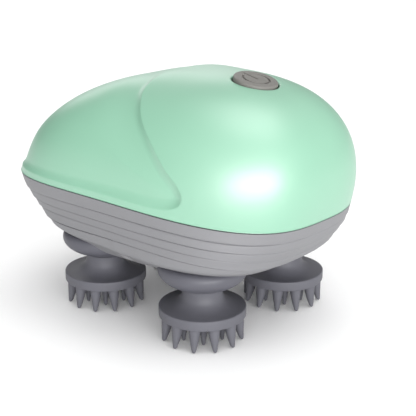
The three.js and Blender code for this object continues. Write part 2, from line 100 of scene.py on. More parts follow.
def keel_terms(v, tailward):
    """Length scale, width scale, plan exponent and plan taper of the lower shell at depth v."""
    v = np.clip(v, 0, 1)
    half = np.sin(np.pi * v ** 1.3)
    length = np.where(tailward, curve(KEEL_TAIL, v), curve(KEEL_NOSE, v))
    return length, curve(KEEL_SIDE, v), np.where(tailward, N_TAIL, N_NOSE + KEEL_SQUARE * half), TAPER + KEEL_TAPER * half


def upper(u, phi, inset=0.0):
    x, y = plan(phi, HALF_LENGTH - inset, HALF_WIDTH - inset)
    s = dome_scale(u)
    return np.stack(np.broadcast_arrays(
        BODY_X + x * s + DOME_SHIFT * u, y * s, seam(x) * (1 - u) + (HEIGHT - inset) * u), -1)


def lower(v, phi, inset=0.0, floor=0.0):
    c, sn = np.cos(phi), np.sin(phi)
    length, width, n, taper = keel_terms(v, c >= 0)
    r = (np.abs(c) ** n + np.abs(sn) ** n) ** (-1 / n)
    x = (HALF_LENGTH - inset) * r * c
    y = (HALF_WIDTH - inset) * r * sn * (1 + taper * r * c) / NORM
    return np.stack(np.broadcast_arrays(
        BODY_X + x * length + KEEL_SHIFT * v, y * width, seam(x) * (1 - v) + (FLAT_Z + floor) * v), -1)


def outline_value(x, y):
    """Below 1 inside the full-size plan outline, 1 on it."""
    n = np.where(x >= 0, N_TAIL, N_NOSE)
    return np.abs(x / HALF_LENGTH) ** n + np.abs(y * NORM / (HALF_WIDTH * (1 + TAPER * x / HALF_LENGTH))) ** n


def keel_z(x, y):
    """Height of the plain underside over a plan point."""
    x, y = np.asarray(x, float), np.asarray(y, float)
    lo, hi = np.zeros_like(x), np.ones_like(x)
    for _ in range(40):
        v = (lo + hi) / 2
        px = x - BODY_X - KEEL_SHIFT * v
        length, width, n, taper = keel_terms(v, px >= 0)
        px = px / length / HALF_LENGTH
        out = np.abs(px) ** n + np.abs(y / width / HALF_WIDTH * NORM / (1 + taper * px)) ** n > 1
        hi, lo = np.where(out, v, hi), np.where(out, lo, v)
    return seam(px * HALF_LENGTH) * (1 - v) + FLAT_Z * v


def dome_place(x, y):
    """(u, |phi|) of the dome over a plan point."""
    lo, hi = 0.0, 1.0
    for _ in range(60):
        u = (lo + hi) / 2
        s = max(dome_scale(u), 1e-6)
        if outline_value(np.float64((x - BODY_X - DOME_SHIFT * u) / s), y / s) > 1:
            hi = u
        else:
            lo = u
    s = dome_scale(u)
    px, py = (x - BODY_X - DOME_SHIFT * u) / s / HALF_LENGTH, y / s / HALF_WIDTH * NORM
    return u, abs(math.atan2(py / (1 + TAPER * px), px))


# ---------------------------------------------------------------- mesh building
class Build:
    """Vertices and faces of one piece, in mm."""

    def __init__(self):
        self.v, self.f = [], []
        self.n = 0

    def add(self, points):
        points = np.asarray(points, float).reshape(-1, 3)
        self.v.append(points)
        ids = np.arange(self.n, self.n + len(points))
        self.n += len(points)
        return ids

    def face(self, *ids):
        self.f.append(tuple(int(i) for i in ids))

    def bridge(self, a, b, closed=True):
        n = len(a)
        for i in range(n if closed else n - 1):
            j = (i + 1) % n
            self.f.append((int(a[i]), int(a[j]), int(b[j]), int(b[i])))

    def fan(self, ring, point):
        c = self.add([point])[0]
        for i in range(len(ring)):
            self.f.append((int(ring[i]), int(ring[(i + 1) % len(ring)]), int(c)))

    def points(self):
        self.v = [np.concatenate(self.v)]
        return self.v[0]


def in_polygon(poly, p):
    """Which of the points p lie in the closed polygon."""
    poly, p = np.asarray(poly, float), np.asarray(p, float).reshape(-1, 2)
    inside = np.zeros(len(p), bool)
    q = np.roll(poly, -1, 0)
    for (x0, y0), (x1, y1) in zip(poly, q):
        if y0 == y1:
            continue
        hit = (p[:, 1] > min(y0, y1)) & (p[:, 1] <= max(y0, y1))
        cross = x0 + (p[:, 1] - y0) * (x1 - x0) / (y1 - y0)
        inside ^= hit & (p[:, 0] < cross)
    return inside


def triangles(loops, free=(), keep_in=0, holes=()):
    """Constrained triangulation of closed 2-D loops. Returns index triples into the joined list of points, kept inside loop keep_in and outside the loops in holes."""
    pts = [np.asarray(l, float) for l in loops]
    all_pts = np.concatenate(pts + ([np.asarray(free, float).reshape(-1, 2)] if len(free) else []))
    edges, start = [], 0
    for l in pts:
        edges += [(start + i, start + (i + 1) % len(l)) for i in range(len(l))]
        start += len(l)
    verts, _, faces, ov, _, _ = delaunay_2d_cdt([Vector(p) for p in all_pts], edges, [], 0, 1e-7, True)
    back = [o[0] for o in ov]
    tri = np.array([[back[i] for i in f] for f in faces if len(f) == 3])
    c = all_pts[tri].mean(1)
    ok = in_polygon(pts[keep_in], c)
    for h in holes:
        ok &= ~in_polygon(pts[h], c)
    return tri[ok]


def ordered_loop(edges):
    nxt = {}
    for a, b in edges:
        nxt.setdefault(a, []).append(b)
        nxt.setdefault(b, []).append(a)
    start = edges[0][0]
    loop, prev, cur = [start], None, start
    while True:
        options = [n for n in nxt[cur] if n != prev]
        step = options[0]
        if step == start:
            return loop
        loop.append(step)
        prev, cur = cur, step


def open_hole(b, origin, e1, e2, axis, reach, distance, rings, among, degree=7, fit_reach=5.0, depth_limit=12.0, fit_depth=12.0):
    """Cuts a neat hole into the grid surface of a Build whose vertex ids lie in the range among. distance(a, b) is the signed distance from the hole's outline in the local plane, rings are [(points (n, 2), height over the fitted surface or None)], outermost first. Returns the innermost ring's vertex ids and the fitted surface."""
    V = b.points()
    q = V - origin
    la, lb, lh = q @ e1, q @ e2, q @ axis
    number = np.arange(len(V))
    near = (number >= among[0]) & (number < among[1]) & (np.abs(lh) < depth_limit) & (distance(la, lb) < reach + fit_reach)
    gone = near & (distance(la, lb) < reach)
    ids = np.nonzero(near & (np.abs(lh) < fit_depth))[0]
    scale = np.abs(np.concatenate([la[ids], lb[ids]])).max()
    powers = [(i, j) for i in range(degree + 1) for j in range(degree + 1 - i)]

    def basis(x, y):
        x, y = np.asarray(x) / scale, np.asarray(y) / scale
        return np.stack([x ** i * y ** j for i, j in powers], -1)

    coef, *_ = np.linalg.lstsq(basis(la[ids], lb[ids]), lh[ids], rcond=None)
    worst = np.abs(basis(la[ids], lb[ids]) @ coef - lh[ids]).max()
    print(f"hole at {np.round(origin, 1)}: fit within {worst:.4f} mm of {len(ids)} points")
    surface = lambda x, y: basis(x, y) @ coef
    kept, edge_count = [], {}
    removed_edges = set()
    for f in b.f:
        if any(gone[i] for i in f):
            for i in range(len(f)):
                removed_edges.add(frozenset((f[i], f[(i + 1) % len(f)])))
        else:
            kept.append(f)
    for f in kept:
        for i in range(len(f)):
            e = frozenset((f[i], f[(i + 1) % len(f)]))
            if e in removed_edges:
                edge_count[e] = edge_count.get(e, 0) + 1
    loop = ordered_loop([tuple(e) for e in edge_count])
    b.f = kept
    previous = None
    for pts, lift in rings:
        pts = np.asarray(pts, float)
        h = surface(pts[:, 0], pts[:, 1]) + lift
        ring = b.add(origin + pts[:, :1] * e1 + pts[:, 1:] * e2 + h[:, None] * axis)
        if previous is None:
            outer = np.stack([la[loop], lb[loop]], -1)
            index = np.concatenate([loop, ring])
            for t in triangles([outer, pts], keep_in=0, holes=[1]):
                b.face(*index[t])
        else:
            b.bridge(previous, ring)
        previous = ring
    return previous, surface


def drop_unused(points, faces):
    used = np.unique(np.concatenate([np.asarray(f) for f in faces]))
    remap = -np.ones(len(points), int)
    remap[used] = np.arange(len(used))
    return points[used], [tuple(int(remap[i]) for i in f) for f in faces]


def piece(name, build, body, material, nodes=(), angle=38.0, offset=(0, 0, 0)):
    points, faces = drop_unused(build.points(), build.f)
    mesh = bpy.data.meshes.new(name)
    mesh.from_pydata(((points + np.asarray(offset, float)) * 0.001).tolist(), [], faces)
    mesh.validate()
    import bmesh
    bm = bmesh.new()
    bm.from_mesh(mesh)
    bmesh.ops.remove_doubles(bm, verts=bm.verts, dist=1e-7)
    bmesh.ops.recalc_face_normals(bm, faces=bm.faces)
    if bm.calc_volume(signed=True) < 0:
        bmesh.ops.reverse_faces(bm, faces=bm.faces)
    loose = sum(1 for e in bm.edges if len(e.link_faces) != 2)
    print(f"piece {name}: {len(bm.verts)} vertices, {len(bm.faces)} faces, open or doubled edges {loose}, volume {bm.calc_volume() * 1e9:.0f} mm3")
    bm.to_mesh(mesh)
    bm.free()
    mesh.shade_smooth()
    mesh.set_sharp_from_angle(angle=math.radians(angle))
    obj = bpy.data.objects.new(name, mesh)
    scene.collection.objects.link(obj)
    mesh.materials.append(material)
    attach(obj, body)
    if nodes:
        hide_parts(*nodes)
    return obj


# ---------------------------------------------------------------- materials
def srgb(*rgb):
    out = []
    for c in rgb:
        c = c / 255
        out.append(c / 12.92 if c <= 0.04045 else ((c + 0.055) / 1.055) ** 2.4)
    return (*out, 1.0)


def finish(name, colour, rough, *, vary=0.04, mottle=60.0, rough_vary=0.05, grain=2500.0, grain_depth=0.02,
           metallic=0.0, coat=0.0, coat_rough=0.2, sheen=0.0, specular=0.5, subsurface=0.0, edge=0.0, stretch=None,
           lighter=None, coat_ior=1.5):
    """Moulded or metal surface: slow colour mottling, fine grain in the bump, slightly uneven gloss."""
    m = bpy.data.materials.new(name)
    m.use_nodes = True
    nt = m.node_tree
    nt.nodes.clear()
    out = nt.nodes.new("ShaderNodeOutputMaterial")
    p = nt.nodes.new("ShaderNodeBsdfPrincipled")
    nt.links.new(p.outputs[0], out.inputs[0])
    tc = nt.nodes.new("ShaderNodeTexCoord")
    vec = tc.outputs["Object"]
    if stretch:
        mp = nt.nodes.new("ShaderNodeMapping")
        mp.inputs["Scale"].default_value = stretch
        nt.links.new(vec, mp.inputs["Vector"])
        vec = mp.outputs[0]
    slow = nt.nodes.new("ShaderNodeTexNoise")
    slow.inputs["Scale"].default_value = mottle
    slow.inputs["Detail"].default_value = 3.0
    nt.links.new(vec, slow.inputs["Vector"])
    ramp = nt.nodes.new("ShaderNodeValToRGB")
    dark = tuple(c * (1 - vary) for c in colour[:3]) + (1,)
    light = tuple(min(1.0, c * (1 + vary)) for c in (lighter or colour)[:3]) + (1,)
    ramp.color_ramp.elements[0].position, ramp.color_ramp.elements[0].color = 0.3, dark
    ramp.color_ramp.elements[1].position, ramp.color_ramp.elements[1].color = 0.7, light
    nt.links.new(slow.outputs["Fac"], ramp.inputs["Fac"])
    nt.links.new(ramp.outputs["Color"], p.inputs["Base Color"])
    fine = nt.nodes.new("ShaderNodeTexNoise")
    fine.inputs["Scale"].default_value = grain
    fine.inputs["Detail"].default_value = 2.0
    nt.links.new(vec, fine.inputs["Vector"])
    uneven = nt.nodes.new("ShaderNodeMapRange")
    uneven.inputs["From Min"].default_value, uneven.inputs["From Max"].default_value = 0.3, 0.7
    uneven.inputs["To Min"].default_value = max(0.02, rough - rough_vary)
    uneven.inputs["To Max"].default_value = min(1.0, rough + rough_vary)
    nt.links.new(slow.outputs["Fac"], uneven.inputs["Value"])
    nt.links.new(uneven.outputs[0], p.inputs["Roughness"])
    bump = nt.nodes.new("ShaderNodeBump")
    bump.inputs["Strength"].default_value = 1.0
    bump.inputs["Distance"].default_value = grain_depth * 0.001
    nt.links.new(fine.outputs["Fac"], bump.inputs["Height"])
    nt.links.new(bump.outputs[0], p.inputs["Normal"])
    p.inputs["Metallic"].default_value = metallic
    p.inputs["Specular IOR Level"].default_value = specular
    p.inputs["Coat Weight"].default_value = coat
    p.inputs["Coat Roughness"].default_value = coat_rough
    p.inputs["Coat IOR"].default_value = coat_ior
    p.inputs["Sheen Weight"].default_value = sheen
    if subsurface:
        p.inputs["Subsurface Weight"].default_value = subsurface
        p.inputs["Subsurface Scale"].default_value = 0.002
    return m


MINT = finish("mint_abs", srgb(109, 169, 139), 0.5, vary=0.015, mottle=25, rough_vary=0.03, grain=1800, grain_depth=0.004,
              specular=0.6, coat=1.0, coat_rough=0.42, coat_ior=2.3)
GREY = finish("grey_abs", srgb(121, 121, 124), 0.5, vary=0.02, mottle=40, grain=3500, grain_depth=0.012)
SILICONE = finish("dark_silicone", srgb(88, 88, 95), 0.55, vary=0.05, mottle=120, rough_vary=0.06, grain=1600, grain_depth=0.012,
                  specular=0.45)
CUP_LOOK = finish("dark_cup", srgb(80, 80, 88), 0.5, vary=0.04, mottle=110, rough_vary=0.05, grain=1700, grain_depth=0.01, coat=0.05, coat_rough=0.4)
BUTTON = finish("warm_grey_abs", srgb(110, 108, 104), 0.5, vary=0.02, mottle=90, grain=3500, grain_depth=0.008)
RUBBER = finish("seal_rubber", srgb(46, 46, 50), 0.75, vary=0.08, mottle=150, grain=2500, grain_depth=0.02)
NYLON = finish("gear_nylon", srgb(232, 228, 216), 0.45, vary=0.03, mottle=120, grain=1800, grain_depth=0.01, subsurface=0.1)
FRAME = finish("frame_plastic", srgb(58, 61, 67), 0.55, vary=0.06, mottle=90, grain=2200, grain_depth=0.02)
STEEL = finish("plated_steel", srgb(196, 198, 202), 0.28, vary=0.05, mottle=200, rough_vary=0.08, grain=1500, grain_depth=0.006,
               metallic=1.0, stretch=(1, 1, 14))
BRONZE = finish("sintered_bronze", srgb(190, 148, 92), 0.42, vary=0.1, mottle=700, rough_vary=0.1, grain=4000, grain_depth=0.02, metallic=1.0)
WRAP = finish("cell_wrap", srgb(58, 108, 168), 0.32, vary=0.04, mottle=60, grain=1200, grain_depth=0.006, coat=0.3, coat_rough=0.1)
BOARD = finish("board_green", srgb(28, 104, 66), 0.38, vary=0.12, mottle=500, grain=3000, grain_depth=0.01, coat=0.4, coat_rough=0.15)
SLOT_FINISH = {"mint_shell": MINT, "grey_shell": GREY, "grey_button": BUTTON, "silicone": SILICONE, "seal_rubber": RUBBER,
               "gear_nylon": NYLON, "frame_plastic": FRAME, "steel": STEEL, "bronze": BRONZE, "cell_wrap": WRAP, "board_green": BOARD}

node_slot = {row["node"]: row["material_slot"] for row in frame["record"]["subparts"]}
for name, obj in frame["nodes"].items():
    look = SLOT_FINISH.get(node_slot.get(name), FRAME)
    if not obj.data.materials:
        obj.data.materials.append(look)
    for s in range(len(obj.material_slots)):
        obj.material_slots[s].material = look

# ---------------------------------------------------------------- grip panel outline
PANEL = [(180, .066), (160, .066), (140, .066), (120, .066), (100, .066), (86, .066), (76, .066), (70, .069), (66.3, .080),
         (63.9, .100), (62.4, .130), (61.8, .165), (61.9, .205), (63.0, .255), (65.0, .307), (68.0, .363), (71.0, .425),
         (74.0, .487), (77.2, .547), (80.5, .603), (84.2, .658), (88.0, .711), (91.5, .758), (95.0, .802), (99.3, .845),
         (104.5, .887), (109.8, .920), (116.0, .949)]
for px, py in ((-3.3, 15.0), (-5.15, 10.0), (-6.43, 5.0), (-7.0, 0.01)):
    u, phi = dome_place(px, py)
    PANEL.append((math.degrees(phi), u))
PANEL_DEPTH, PANEL_SOFT = 1.0, 3.4
PANEL_HOLLOW = 0.45


def catmull_rom(points, per):
    p = np.asarray(points, float)
    p = np.concatenate([[2 * p[0] - p[1]], p, [2 * p[-1] - p[-2]]])
    out = []
    for i in range(1, len(p) - 2):
        for t in np.linspace(0, 1, per, endpoint=False):
            a, b, c, d = p[i - 1:i + 3]
            out.append(0.5 * (2 * b + (c - a) * t + (2 * a - 5 * b + 4 * c - d) * t * t + (3 * b - a - 3 * c + d) * t ** 3))
    out.append(p[-2])
    return np.array(out)


def smooth_path(points, per=24):
    """Catmull-Rom through the points, then lightly relaxed."""
    out = catmull_rom(points, per)
    for _ in range(60):
        out[1:-1] = (out[:-2] + 2 * out[1:-1] + out[2:]) / 4
    return out


panel = smooth_path(PANEL)
tip = int(np.argmin(panel[:, 0]))
low_branch, high_branch = panel[:tip + 1][::-1], panel[tip:]
tree = kdtree.KDTree(len(panel) * 4)
fine_panel = np.stack([np.interp(np.linspace(0, len(panel) - 1, len(panel) * 4), np.arange(len(panel)), panel[:, k]) for k in (0, 1)], -1)
for i, p in enumerate(upper(fine_panel[:, 1], np.radians(fine_panel[:, 0]))):
    tree.insert(Vector((p[0], abs(p[1]), p[2])), i)
tree.balance()


def panel_depth(u, phi, points):
    """How far the surface is let in at each point, mm."""
    deg = np.degrees(np.abs((phi + np.pi) % (2 * np.pi) - np.pi))
    bottom = np.interp(deg, low_branch[:, 0], low_branch[:, 1])
    top = np.interp(deg, high_branch[:, 0], high_branch[:, 1])
    inside = (deg > panel[tip, 0]) & (u > bottom) & (u < top)
    d = np.array([tree.find(Vector((p[0], abs(p[1]), p[2])))[2] for p in points])
    d = np.where(inside, d, -d)
    soft = (d + np.sqrt(d * d + 0.16 ** 2)) / 2
    soft = np.where(d < -0.6, 0, soft)
    # deepest along the foot of its rear edge, fading out again towards the middle of the panel
    rear = np.clip((112 - deg) / 30, 0, 1) * np.clip((0.62 - u) / 0.3, 0, 1)
    foot = np.clip(soft / PANEL_SOFT, 0, 1) * np.exp(-np.maximum(0, soft - PANEL_SOFT) / 6.0)
    rise = np.clip((d - 5.0) / 13.0, 0, 1)
    crown = 1 - 0.55 * rise * rise * (3 - 2 * rise)
    return PANEL_DEPTH * crown * (1 - (1 - np.clip(soft / PANEL_SOFT, 0, 1)) ** 2.3) + PANEL_HOLLOW * rear * foot


# ---------------------------------------------------------------- upper shell
def spread(phib, amount, half):
    g = np.linspace(0, np.pi, 3001)
    rho = 1 + amount * np.exp(-((g - phib) / 0.085) ** 2)
    total = np.concatenate([[0], np.cumsum((rho[1:] + rho[:-1]) / 2)])
    return np.interp(np.linspace(0, 1, half + 1), total / total[-1], g)


HALF_COLS = 200
w = np.linspace(0, 1, 6001)
u_line = 1 - (1 - w) ** 3
along = np.hypot(np.diff(dome_scale(u_line)) * 52, np.diff(u_line) * 40)
mid = (u_line[1:] + u_line[:-1]) / 2
weight = 1 + 3.0 * np.exp(-((mid - 0.075) / 0.045) ** 2) + 2.2 * ((mid > 0.925) & (mid < 0.985))
grow = np.concatenate([[0], np.cumsum(along * weight)])
rows = 190
u_rows = np.interp(np.linspace(0, 1, rows + 1), grow / grow[-1], u_line)
u_rows = u_rows[(u_rows > 0.014) & (u_rows < 0.99995)]
phib_of_u = lambda u: math.radians(float(np.interp(u, [p[1] for p in PANEL[8:28]], [p[0] for p in PANEL[8:28]])))


def row_phi(u):
    fade = float(np.clip((0.955 - u) / 0.05, 0, 1))
    half = spread(phib_of_u(u), 4.5 * fade * fade * (3 - 2 * fade), HALF_COLS)
    return np.concatenate([half, 2 * np.pi - half[-2:0:-1]])


shell = Build()
grid_u, grid_phi = [], []
for u in u_rows:
    phi = row_phi(float(u))
    grid_phi.append(phi)
    grid_u.append(np.full(len(phi), u))
grid_u, grid_phi = np.array(grid_u), np.array(grid_phi)
G = upper(grid_u, grid_phi)
# outward normals from the formula
eps = 1e-4
du = upper(np.minimum(grid_u + eps, 1), grid_phi) - upper(grid_u - eps, grid_phi)
dp = upper(grid_u, grid_phi + eps) - upper(grid_u, grid_phi - eps)
normal = np.cross(dp, du)
normal /= np.linalg.norm(normal, axis=-1, keepdims=True)
sink = panel_depth(grid_u.ravel(), grid_phi.ravel(), G.reshape(-1, 3)).reshape(grid_u.shape)
G = G - normal * sink[..., None]
ids = [shell.add(r) for r in G]
for a, b in zip(ids[:-1], ids[1:]):
    shell.bridge(a, b)
shell.fan(ids[-1], (BODY_X + DOME_SHIFT, 0, HEIGHT))
shell_outer = (0, shell.n)

# opening for the power button
tilt = BUTTON_TILT
E1 = np.array([math.cos(tilt), 0, -math.sin(tilt)])
E2 = np.array([0.0, 1.0, 0.0])
AX = np.array([math.sin(tilt), 0, math.cos(tilt)])


def circle(r, n, turn=0.0):
    t = np.linspace(0, 2 * np.pi, n, endpoint=False) + turn
    return np.stack([r * np.cos(t), r * np.sin(t)], -1)


RING = 120
hole_rings = [(circle(10.4, RING), 0.0), (circle(9.6, RING), 0.0), (circle(9.1, RING), -0.005), (circle(8.85, RING), -0.03),
              (circle(8.66, RING), -0.09), (circle(8.52, RING), -0.2), (circle(8.44, RING), -0.34), (circle(8.4, RING), -0.52), (circle(8.4, RING), -1.3)]
outer_lip, _ = open_hole(shell, BUTTON_POS, E1, E2, AX, 11.3, lambda a, b: np.hypot(a, b), hole_rings, shell_outer)

# lower edge: a hair-thin lip, then a small radius into the joint
phi0 = grid_phi[0]


def low_row(dz, inset):
    x, y = plan(phi0, HALF_LENGTH - inset, HALF_WIDTH - inset)
    return np.stack([BODY_X + x, y, seam(x) + dz], -1)


previous = ids[0]
for dz, inset in ((0.46, -0.02), (0.40, -0.10), (0.31, -0.12), (0.24, -0.07), (0.2, 0.05), (0.18, 0.25)):
    ring = shell.add(low_row(dz, inset))
    shell.bridge(previous, ring)
    previous = ring
rim = previous
# inside of the shell, coarser
STEP = 4
inner_phi = phi0[::STEP]
inner_rows = [0.0, 0.06, 0.13, 0.21, 0.3, 0.4, 0.5, 0.6, 0.69, 0.77, 0.84, 0.89, 0.93, 0.957, 0.975, 0.987, 0.994, 0.998, 0.9995]
inner_ids = []
inner_start = shell.n
for k, u in enumerate(inner_rows):
    P = upper(np.full(len(inner_phi), u), inner_phi, WALL)
    if k == 0:
        P[:, 2] += 0.18
    inner_ids.append(shell.add(P))
n_in = len(inner_phi)
for j in range(n_in):
    j2 = (j + 1) % n_in
    span = [rim[(j * STEP + s) % len(rim)] for s in range(STEP + 1)]
    shell.face(*span, inner_ids[0][j2], inner_ids[0][j])
for a, b in zip(inner_ids[:-1], inner_ids[1:]):
    shell.bridge(b, a)
shell.fan(inner_ids[-1][::-1], (BODY_X + DOME_SHIFT, 0, HEIGHT - WALL))
inner_lip, _ = open_hole(shell, BUTTON_POS - AX * 3.0, E1, E2, AX, 12.5, lambda a, b: np.hypot(a, b),
                         [(circle(10.4, RING), 0.0), (circle(8.4, RING), 0.0)], (inner_start, shell.n), degree=5, fit_reach=9)
shell.bridge(outer_lip, inner_lip)
upper_piece = piece("upper_shell_skin", shell, "casing", MINT, ["upper_shell"])

# ---------------------------------------------------------------- lower shell
deg_knots = [0, 22, 45, 67, 90, 112, 135, 158, 180]
# the four steps between the bands, mm below the seam
LINES = [[4.62, 4.4, 3.93, 3.99, 4.9, 5.6, 6.2, 6.5, 6.5], [9.04, 8.05, 7.08, 7.39, 8.95, 10.03, 10.9, 11.3, 11.3],
         [13.5, 11.79, 10.22, 10.71, 12.29, 13.56, 14.6, 15.0, 15.0], [17.52, 15.61, 13.88, 14.1, 15.81, 17.53, 18.6, 19.0, 19.0]]
COLS = 360
phi_l = np.linspace(0, 2 * np.pi, COLS, endpoint=False)
deg_l = np.degrees(np.abs((phi_l + np.pi) % (2 * np.pi) - np.pi))


def line_offset(k):
    v = np.interp(deg_l, deg_knots, LINES[k])
    for _ in range(70):
        v = (np.roll(v, 1) + 2 * v + np.roll(v, -1)) / 4
    return v


depth_here = seam(plan(phi_l, HALF_LENGTH, HALF_WIDTH)[0]) - FLAT_Z
lines = [np.zeros(COLS)] + [line_offset(k) for k in range(4)] + [depth_here]
BAND_STEP = 0.42
noseward = np.clip((deg_l - 80) / 60, 0, 1)
GROOVE, GROOVE_END = 0.7 + 0.3 * noseward, 0.33 + 0.2 * noseward


def band_strength(P):
    """1 on the banded surface, 0 on the plain pads round the charging port and the screw holes."""
    q = np.stack([np.abs(P[:, 1]) - 7.2, np.abs(P[:, 2] - 43.0) - 4.1])
    d = np.hypot(np.maximum(q[0], 0), np.maximum(q[1], 0)) + np.minimum(np.maximum(q[0], q[1]), 0)
    k = np.where(P[:, 0] < 0, np.clip((d - 1.8) / 1.4, 0, 1), 1.0)
    for x, y in CASE_SCREWS:
        k = np.minimum(k, np.clip((np.hypot(P[:, 0] - x, P[:, 1] - y) - 5.0) / 1.0, 0, 1))
    return k * k * (3 - 2 * k)


keel = Build()


def keel_row(dz, inset):
    """A ring dz mm below the seam, let in by inset."""
    v = np.clip(dz / depth_here, 0, 1)
    P = lower(v, phi_l)
    Q = lower(np.minimum(v + 0.01, 1), phi_l)
    O = lower(np.maximum(v - 0.01, 0), phi_l)
    along_v = Q - O
    N1 = lower(v, phi_l + 1e-3) - lower(v, phi_l - 1e-3)
    nrm = np.cross(along_v, N1)
    nrm /= np.linalg.norm(nrm, axis=-1, keepdims=True)
    out = np.sign((nrm[:, :2] * P[:, :2]).sum(-1))
    nrm *= out[:, None]
    return P - nrm * (np.broadcast_to(inset, (COLS,)) * band_strength(P))[:, None]


rows_k = []
for dz, inset in ((0.2, 0.3), (0.22, 0.1), (0.3, 0.03), (0.42, 0.0)):
    rows_k.append(keel_row(np.full(COLS, dz), inset))
for k in range(5):
    a, b_ = lines[k], lines[k + 1]
    last = k == 4
    if k:
        rows_k.append(keel_row(a + 0.10, GROOVE))
        rows_k.append(keel_row(a + GROOVE_END, GROOVE))
        rows_k.append(keel_row(a + GROOVE_END + 0.13, BAND_STEP + 0.06))
    n = 12 if last else 7
    for t in np.linspace(0.2 if k else 0.12, 0.9, n):
        lean = BAND_STEP * (1 - t) if not last else BAND_STEP * max(0.0, 1 - t * 1.25) ** 1.2
        if k == 0:
            lean = 0.12 * (1 - t) * 0
        rows_k.append(keel_row(a + (b_ - a) * t, lean))
    if not last:
        rows_k.append(keel_row(b_ - 0.26, 0.0))
        rows_k.append(keel_row(b_ - 0.12, 0.04))
        rows_k.append(keel_row(b_ - 0.03, 0.13))
        rows_k.append(keel_row(b_ + 0.02, 0.3))
    else:
        for t in (0.94, 0.97, 0.99, 1.0):
            rows_k.append(keel_row(a + (b_ - a) * t, 0.0))
rows_k = [r.copy() for r in rows_k]
# the flat underside, shrinking rings
bottom = rows_k[-1]
centre = np.array([BODY_X + KEEL_SHIFT, 0, FLAT_Z])
for t in (0.97, 0.9, 0.8, 0.7, 0.58, 0.46, 0.34, 0.22, 0.1):
    r = centre + (bottom - centre) * t
    r[:, 2] = FLAT_Z
    rows_k.append(r)
kid = [keel.add(r) for r in rows_k]
for a, b_ in zip(kid[:-1], kid[1:]):
    keel.bridge(a, b_)
keel.fan(kid[-1], centre)
keel_outer = (0, keel.n)

# inside
kin_phi = phi_l[::4]
kin_rows = [0.0, 0.1, 0.2, 0.3, 0.4, 0.5, 0.59, 0.67, 0.75, 0.83, 0.9, 0.96, 1.0]


def keel_inner(v):
    return lower(v, kin_phi, WALL - 0.2, WALL - 0.2)


kin = []
for i, v in enumerate(kin_rows):
    P = keel_inner(v)
    if i == 0:
        P[:, 2] -= 0.2
    kin.append(keel.add(P))
base_in = keel_inner(1.0)
c_in = np.array([BODY_X + KEEL_SHIFT, 0, FLAT_Z + WALL - 0.2])
for t in (0.8, 0.6, 0.4, 0.2):
    r = c_in + (base_in - c_in) * t
    kin.append(keel.add(r))
for j in range(len(kin_phi)):
    j2 = (j + 1) % len(kin_phi)
    span = [kid[0][(j * 4 + s) % COLS] for s in range(5)]
    keel.face(*span, kin[0][j2], kin[0][j])
for a, b_ in zip(kin[:-1], kin[1:]):
    keel.bridge(b_, a)
keel.fan(kin[-1][::-1], c_in)
keel_inside = (keel_outer[1], keel.n)

DOWN1, DOWN2, DOWN = np.array([1.0, 0, 0]), np.array([0, -1.0, 0]), np.array([0, 0, -1.0])
UP2, UP = np.array([0, 1.0, 0]), np.array([0, 0, 1.0])
BORE = 48
for x, y in CASE_SCREWS:
    z_out, z_in = float(keel_z(x, y)), float(keel_z(x, y)) + 2.4
    lip, _ = open_hole(keel, np.array([x, y, z_out]), DOWN1, DOWN2, DOWN, 3.9, lambda a, b: np.hypot(a, b),
                       [(circle(3.6, BORE), 0.0), (circle(3.15, BORE), -0.02), (circle(2.95, BORE), -0.09), (circle(2.82, BORE), -0.22), (circle(2.75, BORE), -0.42)],
                       keel_outer, degree=6, fit_reach=0.8, depth_limit=3.2)

    def level(r, z):
        p = circle(r, BORE)
        return keel.add(np.stack([x + p[:, 0], y - p[:, 1], np.full(BORE, z)], -1))

    chain = [lip, level(2.72, 31.9), level(1.6, 31.95), level(1.6, 43.7), level(1.9, 44.0), level(3.5, 44.0), level(3.8, 43.7)]
    fit, deep = (3.0, 5.0) if x == 0 else (6.0, 12.0)
    inner, _ = open_hole(keel, np.array([x, y, z_in]), DOWN1, DOWN2, DOWN, 6.4, lambda a, b: np.hypot(a, b),
                         [(circle(4.6, BORE), 0.0), (circle(4.0, BORE), -0.12), (circle(3.8, BORE), -0.5)], keel_inside, degree=4, fit_reach=fit, fit_depth=deep)
    chain.append(inner)
    for a, b_ in zip(chain[:-1], chain[1:]):
        keel.bridge(a, b_)


# charging pocket in the nose: a rounded opening, seen along +X
def rounded(hx, hy, r, n=10):
    pts = []
    for cx, cy, a0 in ((1, 1, 0), (-1, 1, 90), (-1, -1, 180), (1, -1, 270)):
        for i in range(n + 1):
            t = math.radians(a0 + 90 * i / n)
            pts.append((cx * (hx - r) + r * math.cos(t), cy * (hy - r) + r * math.sin(t)))
    return np.array(pts)


def box_distance(hx, hy, r):
    def d(a, b):
        qa, qb = np.abs(a) - (hx - r), np.abs(b) - (hy - r)
        return np.hypot(np.maximum(qa, 0), np.maximum(qb, 0)) + np.minimum(np.maximum(qa, qb), 0) - r
    return d


PORT = np.array([-60.5, 0.0, 43.0])
N1, N2, NX = np.array([0.0, -1.0, 0.0]), np.array([0.0, 0.0, 1.0]), np.array([-1.0, 0.0, 0.0])
port_rings = [(rounded(7.75, 4.65, 2.1), 0.0), (rounded(7.45, 4.35, 1.8), -0.03), (rounded(7.3, 4.2, 1.65), -0.12), (rounded(7.2, 4.1, 1.55), -0.3), (rounded(7.2, 4.1, 1.55), -0.9)]
port_lip, _ = open_hole(keel, PORT, N1, N2, NX, 1.0, box_distance(7.2, 4.1, 1.5), port_rings, keel_outer, degree=6, fit_reach=0.8)


def port_level(hx, hy, r, x):
    p = rounded(hx, hy, r)
    return keel.add(np.stack([np.full(len(p), x), -p[:, 0], PORT[2] + p[:, 1]], -1))


